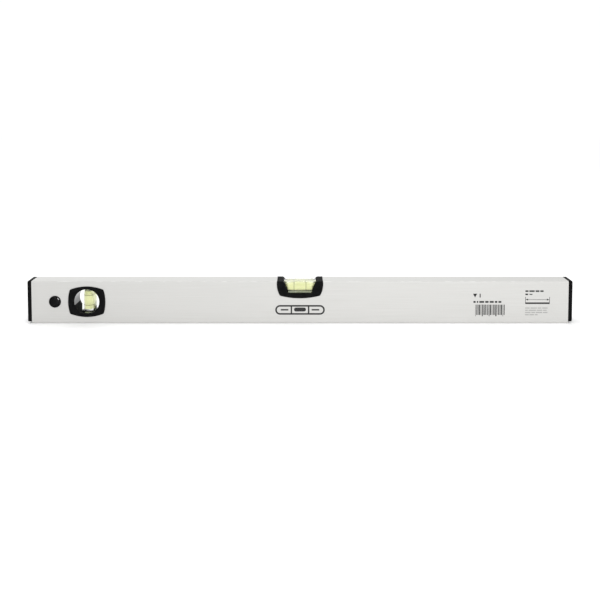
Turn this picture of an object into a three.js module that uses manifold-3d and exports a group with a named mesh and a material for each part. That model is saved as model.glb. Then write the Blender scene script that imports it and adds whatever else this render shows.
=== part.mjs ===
// Spirit level, 600 mm long: a closed aluminium box section with a level vial in its top edge, a
// plumb vial and a hanging hole near its left end, and a plastic cap on each end.
// Millimetres, +X along the length, -Y towards the front face, +Z up.
// The origin is the middle of the lower measuring face.

import * as THREE from 'three';
import { mergeVertices } from 'three/addons/utils/BufferGeometryUtils.js';
import Module from 'manifold-3d';

const wasm = await Module();
wasm.setup();

const FRONT = -1;
const REAR = 1;
const LEFT = -1;
const RIGHT = 1;

// ---- Box section ----
const LENGTH = 600; // over the end caps
const HEIGHT = 47;
const DEPTH = 20;
const SIDE_WALL = 1.25;
const EDGE_WALL = 2; // the upper and lower measuring edges
const OUTER_RADIUS = 1.5;
const INNER_RADIUS = 0.5;
const FACE_Y = DEPTH / 2;

// ---- End caps ----
const CAP_PLATE = 4.5;
const CAP_CROWN = 0.1; // how far the outer face bulges at mid depth
const CAP_CORNER = 0.5; // seen from above
const CAP_LIFT = 1.875; // the cap's lower end stays clear of the measuring face
const SPIGOT_LENGTH = 14;
const SPIGOT_WALL = 1.5;
const SPIGOT_GAP = 0.25; // all round, between the spigot and the inside of the section
const CRUSH_RIB = { width: 1, height: 0.125, length: 11, offsetZ: 12, offsetY: 4 };
const SECTION_END = LENGTH / 2 - CAP_PLATE;

// ---- Snap-in housings ----
const FLANGE = 0.5; // how far every flange stands out from the side faces
const CUT_LAP = 0.8; // how far a flange covers the edge of its cut-out
const NECK_GAP = 0.2; // between a housing's neck and its cut-out
const CORNER_CUT = 1.4; // where a swelling side gives way to the round at the corner
const OUTER_Y = FACE_Y + FLANGE;
const PIN = { length: 2.5, socketDepth: 3, gap: 0.15 };

// Cushion outlines, from the centre of each housing: corners, and the swell between corners
const LEVEL_HOUSING = { x: 0, z: 44, halfWidth: 22.2, halfHeight: 12.9, swellX: 3.3, swellZ: 2.9 };
const PLUMB_HOUSING = { x: -234.75, z: 24.25, halfWidth: 18.5, halfHeight: 13.4, swellX: 2, swellZ: 3.6 };
const LEVEL_OPENING = {
  floor: 33.25,
  halfBase: 13,
  corner: 1.5,
  flankBend: [13.8, 40],
  shoulder: [17.3, 45.4],
  topBend: 18.4,
  halfTop: 19.8,
};
const EAR = { half: 25.1, gap: 0.1, depth: 2.25 }; // the ears widen over the section's top wall
const PLUMB_WINDOW_RADIUS = 13.75;
const LEVEL_PINS = { x: 8, z: 31.25, radius: 0.9 };
const PLUMB_PINS = { x: 15, z: 10, radius: 1.25 }; // offsets from the housing's centre

// ---- Hanging bush ----
const BUSH = { x: -269.75, z: 24.25, bore: 5.05, tube: 5.8, cutout: 6, flange: 6.55, chamfer: 0.25 };

// ---- Vials: a square acrylic block with a barrel-shaped bore, closed by a plug ----
const BLOCK_HALF = 6.25; // half the block's width and depth
const BORE_RADIUS = 4.8; // at the middle of the barrel
const BARREL_ARC = 170; // radius of the bore's lengthwise curve, which centres the bubble
const FLUID_GAP = 0.1;
const PLUG_GAP = 0.1;
const PLUG_RECESS = 0.5; // the plug's outer end sits below the end of the block
const GLUE = 0.25; // the glue layer between a block and its housing
const RING = { width: 0.5, depth: 0.3, gap: 0.1 };
const LEVEL_VIAL = { z: 39.5, halfLength: 21.5, halfChamber: 18, plug: 3.6, ringAt: 6.625 };
const PLUMB_VIAL = { halfLength: 14.75, halfChamber: 10, plug: 4.25, ringAt: 5.5 };
const LEVEL_BUBBLE = { halfLength: 5.25, halfWidth: 3.4, halfHeight: 1.9, crest: 4.2 };
const PLUMB_BUBBLE = { halfWidth: 4.1, halfHeight: 1.9, headroom: 0.2 };
const BUBBLE_GAP = 0.2;

const ROUND = 32; // segments of a full circle
const CURVE = 6; // segments of each curved stretch of an outline
const BARREL_STEPS = 6;
const PAST = 1; // how far a cutting tool runs past the surface that it cuts

// ---- Finishes ----
const finishes = {
  section: new THREE.MeshStandardMaterial({ color: '#cfcfcc', roughness: 0.45, metalness: 0.3 }),
  blackPlastic: new THREE.MeshStandardMaterial({ color: '#161617', roughness: 0.5 }),
  acrylic: new THREE.MeshStandardMaterial({
    color: '#eef5e4', roughness: 0.05, transparent: true, opacity: 0.3,
  }),
  plug: new THREE.MeshStandardMaterial({ color: '#dfe8c8', roughness: 0.2 }),
  fluid: new THREE.MeshStandardMaterial({
    color: '#c9e25a', roughness: 0.05, transparent: true, opacity: 0.6,
  }),
  bubble: new THREE.MeshStandardMaterial({
    color: '#f6fae6', roughness: 0.05, transparent: true, opacity: 0.4,
  }),
  ring: new THREE.MeshStandardMaterial({ color: '#20221c', roughness: 0.6 }),
  glue: new THREE.MeshStandardMaterial({ color: '#c8c8bd', roughness: 0.4 }),
};

// ---- Solids ----

// Turns a closed three.js geometry into a solid, leaving out the triangles that have no area.
function solidFrom(geometry) {
  const bare = geometry.clone();
  bare.deleteAttribute('normal');
  bare.deleteAttribute('uv');
  const merged = mergeVertices(bare, 1e-5);
  const corners = merged.index.array;
  const triangles = [];
  for (let i = 0; i < corners.length; i += 3) {
    const [a, b, c] = [corners[i], corners[i + 1], corners[i + 2]];
    if (a !== b && b !== c && c !== a) {
      triangles.push(a, b, c);
    }
  }
  return new wasm.Manifold(new wasm.Mesh({
    numProp: 3,
    vertProperties: merged.attributes.position.array,
    triVerts: Uint32Array.from(triangles),
  }));
}

function meshFrom(name, solid, material) {
  const result = solid.getMesh();
  const geometry = new THREE.BufferGeometry();
  geometry.setAttribute('position', new THREE.BufferAttribute(result.vertProperties, 3));
  geometry.setIndex(new THREE.BufferAttribute(result.triVerts, 1));
  geometry.computeVertexNormals();
  const mesh = new THREE.Mesh(geometry, material);
  mesh.name = name;
  return mesh;
}

const X = new THREE.Vector3(1, 0, 0);
const Y = new THREE.Vector3(0, 1, 0);
const Z = new THREE.Vector3(0, 0, 1);

function box(x0, x1, y0, y1, z0, z1) {
  const geometry = new THREE.BoxGeometry(Math.abs(x1 - x0), Math.abs(y1 - y0), Math.abs(z1 - z0));
  geometry.translate((x0 + x1) / 2, (y0 + y1) / 2, (z0 + z1) / 2);
  return solidFrom(geometry);
}

// An outline drawn in X and Z, given a thickness from y0 to y1.
function extrudeY(outline, y0, y1) {
  const depth = Math.abs(y1 - y0);
  const geometry = new THREE.ExtrudeGeometry(outline, { depth, bevelEnabled: false, curveSegments: CURVE });
  geometry.applyMatrix4(new THREE.Matrix4().makeBasis(X, Z, Y.clone().negate()));
  geometry.translate(0, Math.max(y0, y1), 0);
  return solidFrom(geometry);
}

// An outline drawn in Y and Z, given a length from x0 to x1.
function extrudeX(outline, x0, x1) {
  const depth = Math.abs(x1 - x0);
  const geometry = new THREE.ExtrudeGeometry(outline, { depth, bevelEnabled: false, curveSegments: CURVE });
  geometry.applyMatrix4(new THREE.Matrix4().makeBasis(Y, Z, X));
  geometry.translate(Math.min(x0, x1), 0, 0);
  return solidFrom(geometry);
}

// An outline drawn in X and Y, given a height from z0 to z1.
function extrudeZ(outline, z0, z1) {
  const depth = z1 - z0;
  const geometry = new THREE.ExtrudeGeometry(outline, { depth, bevelEnabled: false, curveSegments: CURVE });
  geometry.translate(0, 0, z0);
  return solidFrom(geometry);
}

// Turns [radius, position along the axis] points around an axis through the given centre.
// The points start and end on the axis, or close on themselves.
function turned(profile, axis, centre) {
  const points = profile.map(([radius, along]) => new THREE.Vector2(radius, along));
  if (THREE.ShapeUtils.area(points) < 0) {
    points.reverse();
  }
  const geometry = new THREE.LatheGeometry(points, ROUND);
  const turn = new THREE.Quaternion().setFromUnitVectors(Y, axis);
  geometry.applyQuaternion(turn);
  geometry.translate(centre.x, centre.y, centre.z);
  return solidFrom(geometry);
}

function rod(radius, from, to, axis, centre) {
  return turned([[0, from], [radius, from], [radius, to], [0, to]], axis, centre);
}

function ellipsoid(radiusX, radiusY, radiusZ, centre) {
  const geometry = new THREE.SphereGeometry(1, ROUND / 2, ROUND / 4);
  geometry.rotateX(Math.PI / 2);
  geometry.scale(radiusX, radiusY, radiusZ);
  geometry.translate(centre.x, centre.y, centre.z);
  return solidFrom(geometry);
}

// ---- Outlines ----

function roundedRectangle(halfWidth, low, high, radius) {
  const shape = new THREE.Shape();
  shape.absarc(halfWidth - radius, low + radius, radius, -Math.PI / 2, 0);
  shape.absarc(halfWidth - radius, high - radius, radius, 0, Math.PI / 2);
  shape.absarc(-halfWidth + radius, high - radius, radius, Math.PI / 2, Math.PI);
  shape.absarc(-halfWidth + radius, low + radius, radius, Math.PI, Math.PI * 1.5);
  return shape;
}

// A rectangle whose four sides swell outwards as parabolas between rounded corners, drawn inset
// from its nominal size.
function cushion({ x, z, halfWidth, halfHeight, swellX, swellZ }, inset) {
  const w = halfWidth - inset;
  const h = halfHeight - inset;
  const u = 1 - CORNER_CUT / w;
  const v = 1 - CORNER_CUT / h;
  const sideX = w + swellX * (1 - v * v);
  const sideBend = w + swellX * (1 + v * v);
  const topZ = h + swellZ * (1 - u * u);
  const topBend = h + swellZ * (1 + u * u);
  const shape = new THREE.Shape();
  shape.moveTo(x + sideX, z - v * h);
  shape.quadraticCurveTo(x + sideBend, z, x + sideX, z + v * h);
  shape.quadraticCurveTo(x + w, z + h, x + u * w, z + topZ);
  shape.quadraticCurveTo(x, z + topBend, x - u * w, z + topZ);
  shape.quadraticCurveTo(x - w, z + h, x - sideX, z + v * h);
  shape.quadraticCurveTo(x - sideBend, z, x - sideX, z - v * h);
  shape.quadraticCurveTo(x - w, z - h, x - u * w, z - topZ);
  shape.quadraticCurveTo(x, z - topBend, x + u * w, z - topZ);
  shape.quadraticCurveTo(x + w, z - h, x + sideX, z - v * h);
  return shape;
}

// The level vial's opening: a flat floor and two sides that flare out to the top edge.
function levelOpening() {
  const { floor, halfBase, corner, flankBend, shoulder, topBend, halfTop } = LEVEL_OPENING;
  const shape = new THREE.Shape();
  shape.moveTo(-halfBase + corner, floor);
  shape.lineTo(halfBase - corner, floor);
  shape.quadraticCurveTo(halfBase, floor, halfBase, floor + corner);
  shape.quadraticCurveTo(flankBend[0], flankBend[1], shoulder[0], shoulder[1]);
  shape.quadraticCurveTo(topBend, HEIGHT, halfTop, HEIGHT);
  shape.lineTo(halfTop, HEIGHT + PAST);
  shape.lineTo(-halfTop, HEIGHT + PAST);
  shape.lineTo(-halfTop, HEIGHT);
  shape.quadraticCurveTo(-topBend, HEIGHT, -shoulder[0], shoulder[1]);
  shape.quadraticCurveTo(-flankBend[0], flankBend[1], -halfBase, floor + corner);
  shape.quadraticCurveTo(-halfBase, floor, -halfBase + corner, floor);
  return shape;
}

// ---- Box section ----

function bodyProfile() {
  const innerHalf = FACE_Y - SIDE_WALL;
  const outside = extrudeX(roundedRectangle(FACE_Y, 0, HEIGHT, OUTER_RADIUS), -SECTION_END, SECTION_END);
  const hollow = extrudeX(
    roundedRectangle(innerHalf, EDGE_WALL, HEIGHT - EDGE_WALL, INNER_RADIUS),
    -SECTION_END - PAST,
    SECTION_END + PAST,
  );
  const reach = FACE_Y + PAST;
  const hole = { x: BUSH.x, y: 0, z: BUSH.z };
  const earHalf = EAR.half + EAR.gap;
  return outside
    .subtract(hollow)
    .subtract(extrudeY(cushion(LEVEL_HOUSING, CUT_LAP), -reach, reach))
    .subtract(box(-earHalf, earHalf, -reach, reach, HEIGHT - EAR.depth, HEIGHT + PAST))
    .subtract(extrudeY(cushion(PLUMB_HOUSING, CUT_LAP), -reach, reach))
    .subtract(rod(BUSH.cutout, -reach, reach, Y, hole));
}

// ---- End caps ----

// The plate's outline seen from above: a crowned outer face with rounded corners.
function capOutline(side) {
  const shoulder = LENGTH / 2 - CAP_CROWN;
  const crownEnd = LENGTH / 2 - 0.75 * CAP_CROWN;
  const crownBend = LENGTH / 2 + 0.75 * CAP_CROWN;
  const shape = new THREE.Shape();
  shape.moveTo(side * SECTION_END, -FACE_Y);
  shape.lineTo(side * (shoulder - CAP_CORNER), -FACE_Y);
  shape.quadraticCurveTo(side * shoulder, -FACE_Y, side * crownEnd, -FACE_Y + CAP_CORNER);
  shape.quadraticCurveTo(side * crownBend, 0, side * crownEnd, FACE_Y - CAP_CORNER);
  shape.quadraticCurveTo(side * shoulder, FACE_Y, side * (shoulder - CAP_CORNER), FACE_Y);
  shape.lineTo(side * SECTION_END, FACE_Y);
  return shape;
}

// A plate that closes the section, on a hollow spigot held inside it by small crush ribs.
function endCap(side) {
  const end = side * SECTION_END;
  const tip = side * (SECTION_END - SPIGOT_LENGTH);
  const ribTip = side * (SECTION_END - CRUSH_RIB.length);
  const halfY = FACE_Y - SIDE_WALL - SPIGOT_GAP;
  const low = EDGE_WALL + SPIGOT_GAP;
  const high = HEIGHT - EDGE_WALL - SPIGOT_GAP;
  const halfRib = CRUSH_RIB.width / 2;

  const section = extrudeX(roundedRectangle(FACE_Y, CAP_LIFT, HEIGHT, OUTER_RADIUS), end, side * LENGTH / 2);
  let cap = section.intersect(extrudeZ(capOutline(side), 0, HEIGHT));
  cap = cap.add(extrudeX(roundedRectangle(halfY, low, high, INNER_RADIUS), end, tip));
  for (const face of [FRONT, REAR]) {
    for (const offset of [-CRUSH_RIB.offsetZ, CRUSH_RIB.offsetZ]) {
      const z = HEIGHT / 2 + offset;
      const crest = face * (halfY + CRUSH_RIB.height);
      cap = cap.add(box(end, ribTip, face * (halfY - PAST), crest, z - halfRib, z + halfRib));
    }
  }
  for (const y of [-CRUSH_RIB.offsetY, CRUSH_RIB.offsetY]) {
    cap = cap.add(box(end, ribTip, y - halfRib, y + halfRib, high - PAST, high + CRUSH_RIB.height));
    cap = cap.add(box(end, ribTip, y - halfRib, y + halfRib, low + PAST, low - CRUSH_RIB.height));
  }
  const pocket = extrudeX(
    roundedRectangle(halfY - SPIGOT_WALL, low + SPIGOT_WALL, high - SPIGOT_WALL, INNER_RADIUS),
    end,
    tip - side * PAST,
  );
  return cap.subtract(pocket);
}

// ---- Hanging bush ----

// Half of the bush: a tube through one wall, with a chamfered flange on the outside.
function hangBush(side) {
  const { bore, tube, flange, chamfer } = BUSH;
  const profile = [
    [bore, 0],
    [tube, 0],
    [tube, FACE_Y],
    [flange, FACE_Y],
    [flange, OUTER_Y - chamfer],
    [flange - chamfer, OUTER_Y],
    [bore + chamfer, OUTER_Y],
    [bore, OUTER_Y - chamfer],
    [bore, 0],
  ];
  const outward = profile.map(([radius, along]) => [radius, side * along]);
  return turned(outward, Y, { x: BUSH.x, y: 0, z: BUSH.z });
}

// ---- Housings: front and rear shells that meet at mid depth ----

// A flange on the side face and a neck that fills the cut-out as far as mid depth.
function shellBlank(outline, side) {
  const flange = extrudeY(cushion(outline, 0), side * FACE_Y, side * OUTER_Y);
  const neck = extrudeY(cushion(outline, CUT_LAP + NECK_GAP), 0, side * FACE_Y);
  return flange.add(neck);
}

// The front shell carries locating pins and the rear shell their sockets.
function withLocators(shell, side, spots, radius) {
  let result = shell;
  for (const [x, z] of spots) {
    const spot = { x, y: 0, z };
    result = side === FRONT
      ? result.add(rod(radius, -PAST, PIN.length, Y, spot))
      : result.subtract(rod(radius + PIN.gap, -PAST, PIN.socketDepth, Y, spot));
  }
  return result;
}

function levelHousing(side) {
  const { halfLength, z } = LEVEL_VIAL;
  const glueHalfX = halfLength - 5.25;
  const glueHalfY = BLOCK_HALF - 1.5;
  const spots = [LEFT, RIGHT].map((end) => [end * LEVEL_PINS.x, LEVEL_PINS.z]);
  const earFoot = HEIGHT - EAR.depth + EAR.gap;
  const shell = shellBlank(LEVEL_HOUSING, side)
    .add(box(-EAR.half, EAR.half, 0, side * FACE_Y, earFoot, HEIGHT))
    .subtract(box(-LENGTH, LENGTH, -LENGTH, LENGTH, HEIGHT, LENGTH))
    .subtract(extrudeY(levelOpening(), side * -PAST, side * (OUTER_Y + PAST)))
    .subtract(box(-halfLength, halfLength, -BLOCK_HALF, BLOCK_HALF, z - BLOCK_HALF, z + BLOCK_HALF))
    .subtract(box(-glueHalfX, glueHalfX, -glueHalfY, glueHalfY, z - BLOCK_HALF - GLUE, z));
  return withLocators(shell, side, spots, LEVEL_PINS.radius);
}

function plumbHousing(side) {
  const { x, z } = PLUMB_HOUSING;
  const { halfLength } = PLUMB_VIAL;
  const half = BLOCK_HALF;
  const glueHalf = half - 1;
  const spots = [LEFT, RIGHT].flatMap((end) => [
    [x + end * PLUMB_PINS.x, z - PLUMB_PINS.z],
    [x + end * PLUMB_PINS.x, z + PLUMB_PINS.z],
  ]);
  const centre = { x, y: 0, z };
  const shell = shellBlank(PLUMB_HOUSING, side)
    .subtract(rod(PLUMB_WINDOW_RADIUS, -OUTER_Y - PAST, OUTER_Y + PAST, Y, centre))
    .subtract(box(x - half, x + half, -half, half, z - halfLength, z + halfLength))
    .subtract(box(x - glueHalf, x + glueHalf, -glueHalf, glueHalf, z - halfLength - GLUE, z));
  return withLocators(shell, side, spots, PLUMB_PINS.radius);
}

// ---- Vials ----

// The bore narrows slowly from its middle towards both ends.
function boreRadius(along) {
  return BORE_RADIUS - (along * along) / (2 * BARREL_ARC);
}

function barrel(halfChamber, shrink, axis, centre) {
  const end = halfChamber - shrink;
  const profile = [[0, -end]];
  for (let step = 0; step <= BARREL_STEPS; step += 1) {
    const along = -end + (2 * end * step) / BARREL_STEPS;
    profile.push([boreRadius(along) - shrink, along]);
  }
  profile.push([0, end]);
  return turned(profile, axis, centre);
}

// Cuts the barrel bore, the plug's hole and the two ring grooves into a block.
function boredBlock(block, vial, axis, centre) {
  const grooveRadius = boreRadius(vial.ringAt) + RING.depth + RING.gap;
  const halfGroove = RING.width / 2 + RING.gap;
  let result = block
    .subtract(barrel(vial.halfChamber, 0, axis, centre))
    .subtract(rod(vial.plug + PLUG_GAP, 0, vial.halfLength + PAST, axis, centre));
  for (const end of [LEFT, RIGHT]) {
    const at = end * vial.ringAt;
    result = result.subtract(rod(grooveRadius, at - halfGroove, at + halfGroove, axis, centre));
  }
  return result;
}

function vialPlug(vial, axis, centre) {
  return rod(vial.plug, vial.halfChamber, vial.halfLength - PLUG_RECESS, axis, centre);
}

// A marking ring that lies in its groove, flush with the wall of the bore.
function markingRing(vial, end, axis, centre) {
  const inner = boreRadius(vial.ringAt);
  const outer = inner + RING.depth;
  const low = end * vial.ringAt - RING.width / 2;
  const high = low + RING.width;
  return turned([[inner, low], [outer, low], [outer, high], [inner, high], [inner, low]], axis, centre);
}

const levelCentre = { x: 0, y: 0, z: LEVEL_VIAL.z };
const plumbCentre = { x: PLUMB_HOUSING.x, y: 0, z: PLUMB_HOUSING.z };

function levelBlock() {
  const { halfLength, z } = LEVEL_VIAL;
  const block = box(-halfLength, halfLength, -BLOCK_HALF, BLOCK_HALF, z - BLOCK_HALF, z + BLOCK_HALF);
  return boredBlock(block, LEVEL_VIAL, X, levelCentre);
}

function plumbBlock() {
  const { x, z } = PLUMB_HOUSING;
  const { halfLength } = PLUMB_VIAL;
  const half = BLOCK_HALF;
  const block = box(x - half, x + half, -half, half, z - halfLength, z + halfLength);
  return boredBlock(block, PLUMB_VIAL, Z, plumbCentre);
}

// The long bubble under the crown of the level vial's bore.
const levelBubbleCentre = {
  x: 0,
  y: 0,
  z: LEVEL_VIAL.z + LEVEL_BUBBLE.crest - LEVEL_BUBBLE.halfHeight,
};

function levelBubble() {
  const { halfLength, halfWidth, halfHeight, crest } = LEVEL_BUBBLE;
  return ellipsoid(halfLength, halfWidth, halfHeight, levelBubbleCentre)
    .intersect(rod(crest, -halfLength, halfLength, X, levelCentre));
}

// The liquid leaves a trough for the bubble, open towards the top of the bore.
function levelFluid() {
  const { halfLength, halfWidth, halfHeight } = LEVEL_BUBBLE;
  const radii = [halfLength, halfWidth, halfHeight].map((radius) => radius + BUBBLE_GAP);
  const column = new THREE.CylinderGeometry(1, 1, 2 * halfHeight, ROUND / 2);
  column.rotateX(Math.PI / 2);
  column.scale(radii[0], radii[1], 1);
  column.translate(0, 0, levelBubbleCentre.z + halfHeight);
  return barrel(LEVEL_VIAL.halfChamber, FLUID_GAP, X, levelCentre)
    .subtract(ellipsoid(...radii, levelBubbleCentre))
    .subtract(solidFrom(column));
}

// With the level lying flat, the plumb vial's bubble rests under the upper end of its bore.
const plumbBubbleCentre = {
  x: PLUMB_HOUSING.x,
  y: 0,
  z: PLUMB_HOUSING.z + PLUMB_VIAL.halfChamber - PLUMB_BUBBLE.headroom - PLUMB_BUBBLE.halfHeight,
};

function plumbBubble() {
  const { halfWidth, halfHeight } = PLUMB_BUBBLE;
  return ellipsoid(halfWidth, halfWidth, halfHeight, plumbBubbleCentre);
}

function plumbFluid() {
  const halfWidth = PLUMB_BUBBLE.halfWidth + BUBBLE_GAP;
  const halfHeight = PLUMB_BUBBLE.halfHeight + BUBBLE_GAP;
  const { x, z } = plumbBubbleCentre;
  const half = BLOCK_HALF;
  return barrel(PLUMB_VIAL.halfChamber, FLUID_GAP, Z, plumbCentre)
    .subtract(ellipsoid(halfWidth, halfWidth, halfHeight, plumbBubbleCentre))
    .subtract(box(x - half, x + half, -half, half, z, HEIGHT));
}

// Thin layers of glue under the level block and under the foot of the plumb block
function levelGlue() {
  const halfX = LEVEL_VIAL.halfLength - 5.5;
  const halfY = BLOCK_HALF - 1.75;
  const top = LEVEL_VIAL.z - BLOCK_HALF;
  return box(-halfX, halfX, -halfY, halfY, top - GLUE, top);
}

function plumbGlue() {
  const { x, z } = PLUMB_HOUSING;
  const half = BLOCK_HALF - 1.25;
  const top = z - PLUMB_VIAL.halfLength;
  return box(x - half, x + half, -half, half, top - GLUE, top);
}

// ---- Assembly ----

const level = new THREE.Group();

const body = new THREE.Group();
body.add(meshFrom('body_profile', bodyProfile(), finishes.section));
body.add(meshFrom('end_cap_left', endCap(LEFT), finishes.blackPlastic));
body.add(meshFrom('end_cap_right', endCap(RIGHT), finishes.blackPlastic));
body.add(meshFrom('hang_bush_front', hangBush(FRONT), finishes.blackPlastic));
body.add(meshFrom('hang_bush_rear', hangBush(REAR), finishes.blackPlastic));
level.add(body);

const levelUnit = new THREE.Group();
levelUnit.add(meshFrom('level_housing_front', levelHousing(FRONT), finishes.blackPlastic));
levelUnit.add(meshFrom('level_housing_rear', levelHousing(REAR), finishes.blackPlastic));
levelUnit.add(meshFrom('level_vial_block', levelBlock(), finishes.acrylic));
levelUnit.add(meshFrom('level_vial_plug', vialPlug(LEVEL_VIAL, X, levelCentre), finishes.plug));
levelUnit.add(meshFrom('level_ring_left', markingRing(LEVEL_VIAL, LEFT, X, levelCentre), finishes.ring));
levelUnit.add(meshFrom('level_ring_right', markingRing(LEVEL_VIAL, RIGHT, X, levelCentre), finishes.ring));
levelUnit.add(meshFrom('level_fluid', levelFluid(), finishes.fluid));
levelUnit.add(meshFrom('level_bubble', levelBubble(), finishes.bubble));
levelUnit.add(meshFrom('level_vial_glue', levelGlue(), finishes.glue));
level.add(levelUnit);

const plumbUnit = new THREE.Group();
plumbUnit.add(meshFrom('plumb_housing_front', plumbHousing(FRONT), finishes.blackPlastic));
plumbUnit.add(meshFrom('plumb_housing_rear', plumbHousing(REAR), finishes.blackPlastic));
plumbUnit.add(meshFrom('plumb_vial_block', plumbBlock(), finishes.acrylic));
plumbUnit.add(meshFrom('plumb_vial_plug', vialPlug(PLUMB_VIAL, Z, plumbCentre), finishes.plug));
plumbUnit.add(meshFrom('plumb_ring_lower', markingRing(PLUMB_VIAL, LEFT, Z, plumbCentre), finishes.ring));
plumbUnit.add(meshFrom('plumb_ring_upper', markingRing(PLUMB_VIAL, RIGHT, Z, plumbCentre), finishes.ring));
plumbUnit.add(meshFrom('plumb_fluid', plumbFluid(), finishes.fluid));
plumbUnit.add(meshFrom('plumb_bubble', plumbBubble(), finishes.bubble));
plumbUnit.add(meshFrom('plumb_vial_glue', plumbGlue(), finishes.glue));
level.add(plumbUnit);

export default level;
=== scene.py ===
import math
from collections import namedtuple

import bmesh
import bpy
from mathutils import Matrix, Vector


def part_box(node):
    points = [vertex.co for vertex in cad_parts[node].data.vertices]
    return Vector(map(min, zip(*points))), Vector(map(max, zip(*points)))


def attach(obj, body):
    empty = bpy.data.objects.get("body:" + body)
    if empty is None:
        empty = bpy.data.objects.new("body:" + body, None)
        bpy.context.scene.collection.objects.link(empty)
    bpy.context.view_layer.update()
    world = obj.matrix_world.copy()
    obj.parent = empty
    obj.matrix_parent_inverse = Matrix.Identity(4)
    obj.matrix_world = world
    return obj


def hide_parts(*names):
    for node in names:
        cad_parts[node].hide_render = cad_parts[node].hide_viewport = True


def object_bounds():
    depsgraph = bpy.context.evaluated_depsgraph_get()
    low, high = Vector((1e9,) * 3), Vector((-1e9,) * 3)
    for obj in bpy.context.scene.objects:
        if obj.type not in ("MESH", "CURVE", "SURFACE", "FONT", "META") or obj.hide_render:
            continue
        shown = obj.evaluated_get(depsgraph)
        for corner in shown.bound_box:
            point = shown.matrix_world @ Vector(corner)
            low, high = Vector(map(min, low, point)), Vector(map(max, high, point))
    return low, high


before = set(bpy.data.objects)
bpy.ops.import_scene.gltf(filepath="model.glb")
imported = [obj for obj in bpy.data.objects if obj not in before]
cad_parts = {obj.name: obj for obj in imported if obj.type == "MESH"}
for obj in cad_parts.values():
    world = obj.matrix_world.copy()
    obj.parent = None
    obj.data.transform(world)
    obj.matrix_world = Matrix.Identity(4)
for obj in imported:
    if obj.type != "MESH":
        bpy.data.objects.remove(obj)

# Spirit level, 600 mm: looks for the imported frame. Metres, +X along the length, -Y to the front, +Z up.

cad_low, cad_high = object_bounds()

MM = 0.001
FRONT = -1
REAR = 1
LEFT = -1
RIGHT = 1
X = Vector((1, 0, 0))
Y = Vector((0, 1, 0))
Z = Vector((0, 0, 1))

# ---- Places that the frame gives ----

section_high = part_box("body_profile")[1]
FACE_Y = section_high.y
HEIGHT = section_high.z
SECTION_END = section_high.x
HALF_LENGTH = cad_high.x
OUTER_Y = cad_high.y

cap_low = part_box("end_cap_right")[0]
CAP_FOOT = cap_low.z
CAP_TIP = cap_low.x

plumb_low, plumb_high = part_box("plumb_housing_rear")
PLUMB_X = (plumb_low.x + plumb_high.x) / 2
PLUMB_Z = (plumb_low.z + plumb_high.z) / 2

bush_low, bush_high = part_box("hang_bush_rear")
BUSH_X = (bush_low.x + bush_high.x) / 2
BUSH_Z = (bush_low.z + bush_high.z) / 2
BUSH_FLANGE = (bush_high.x - bush_low.x) / 2

# ---- Sizes ----

PAST = 1 * MM  # how far a cutter, or the root of a pin, runs past the face that it starts from
LAP = 0.5 * MM  # how far joined solids run into each other
ROUND = 96  # points around a turned piece

# Box section
SIDE_WALL = 1.25 * MM
EDGE_WALL = 2 * MM
SECTION_RADIUS = 1.5 * MM
INNER_RADIUS = 0.5 * MM

# End caps
CAP_CROWN = 0.1 * MM
CAP_SIDE_EDGE = 0.4 * MM
CAP_END_EDGE = 0.8 * MM
CAP_SEAM = 0.15 * MM
CAP_LEAST_CORNER = 0.3 * MM
CAP_CROWN_ROWS = (3.5 * MM, 5 * MM, 6.5 * MM, 8 * MM, 9.2 * MM)
SPIGOT_GAP = 0.25 * MM
SPIGOT_WALL = 1.5 * MM
RIB_HALF_WIDTH = 0.5 * MM
RIB_HEIGHT = 0.125 * MM
RIB_LENGTH = 11 * MM
SIDE_RIB_Z = 12 * MM
EDGE_RIB_Y = 4 * MM

# Housings: a flange laps over the cut-out in the section's side, and a neck goes through it.
CUT_LAP = 0.8 * MM
NECK_GAP = 0.2 * MM
CORNER_CUT = 1.4 * MM
FLANGE_EDGE = 0.22 * MM
LEVEL_CUSHION = dict(
    x=0, z=44 * MM, half_width=22.2 * MM, half_height=12.9 * MM, swell_x=3.3 * MM, swell_z=2.9 * MM
)
PLUMB_CUSHION = dict(
    x=PLUMB_X, z=PLUMB_Z, half_width=18.5 * MM, half_height=13.4 * MM, swell_x=2 * MM, swell_z=3.6 * MM
)
OPENING_HALF_BASE = 13 * MM
OPENING_CORNER = 1.5 * MM
OPENING_BEND = (13.8 * MM, 40 * MM)
OPENING_SHOULDER = (17.3 * MM, 45.4 * MM)
OPENING_TOP_BEND = 18.4 * MM
OPENING_HALF_TOP = 19.8 * MM
EAR_HALF = 25.1 * MM
EAR_ROOT = 22 * MM
EAR_GAP = 0.1 * MM
EAR_DEPTH = 2.25 * MM
EAR_LAP = 0.1 * MM
WINDOW_RADIUS = 13.75 * MM
WINDOW_LIP = 0.35 * MM
POLISH_BELOW_MIDDLE = 4 * MM
POLISHED_FLOOR_BELOW_MIDDLE = 11.5 * MM

PIN_LENGTH = 2.5 * MM
PIN_LEAD = 0.2 * MM
SOCKET_GAP = 0.15 * MM
SOCKET_DEPTH = 3 * MM
LEVEL_PINS = dict(
    spots=[(x * MM, 31.25 * MM) for x in (-8, 8)],
    radius=0.9 * MM,
)
PLUMB_PINS = dict(
    spots=[(PLUMB_X + dx * MM, PLUMB_Z + dz * MM) for dx in (-15, 15) for dz in (-10, 10)],
    radius=1.25 * MM,
)

# Hanging bush: radii, and its rounded edges
BUSH_BORE = 4.97 * MM
BUSH_MOUTH = 0.35 * MM
BUSH_FILLET = 0.2 * MM
BUSH_TUBE = 5.8 * MM
BUSH_CUTOUT = 6 * MM

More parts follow.
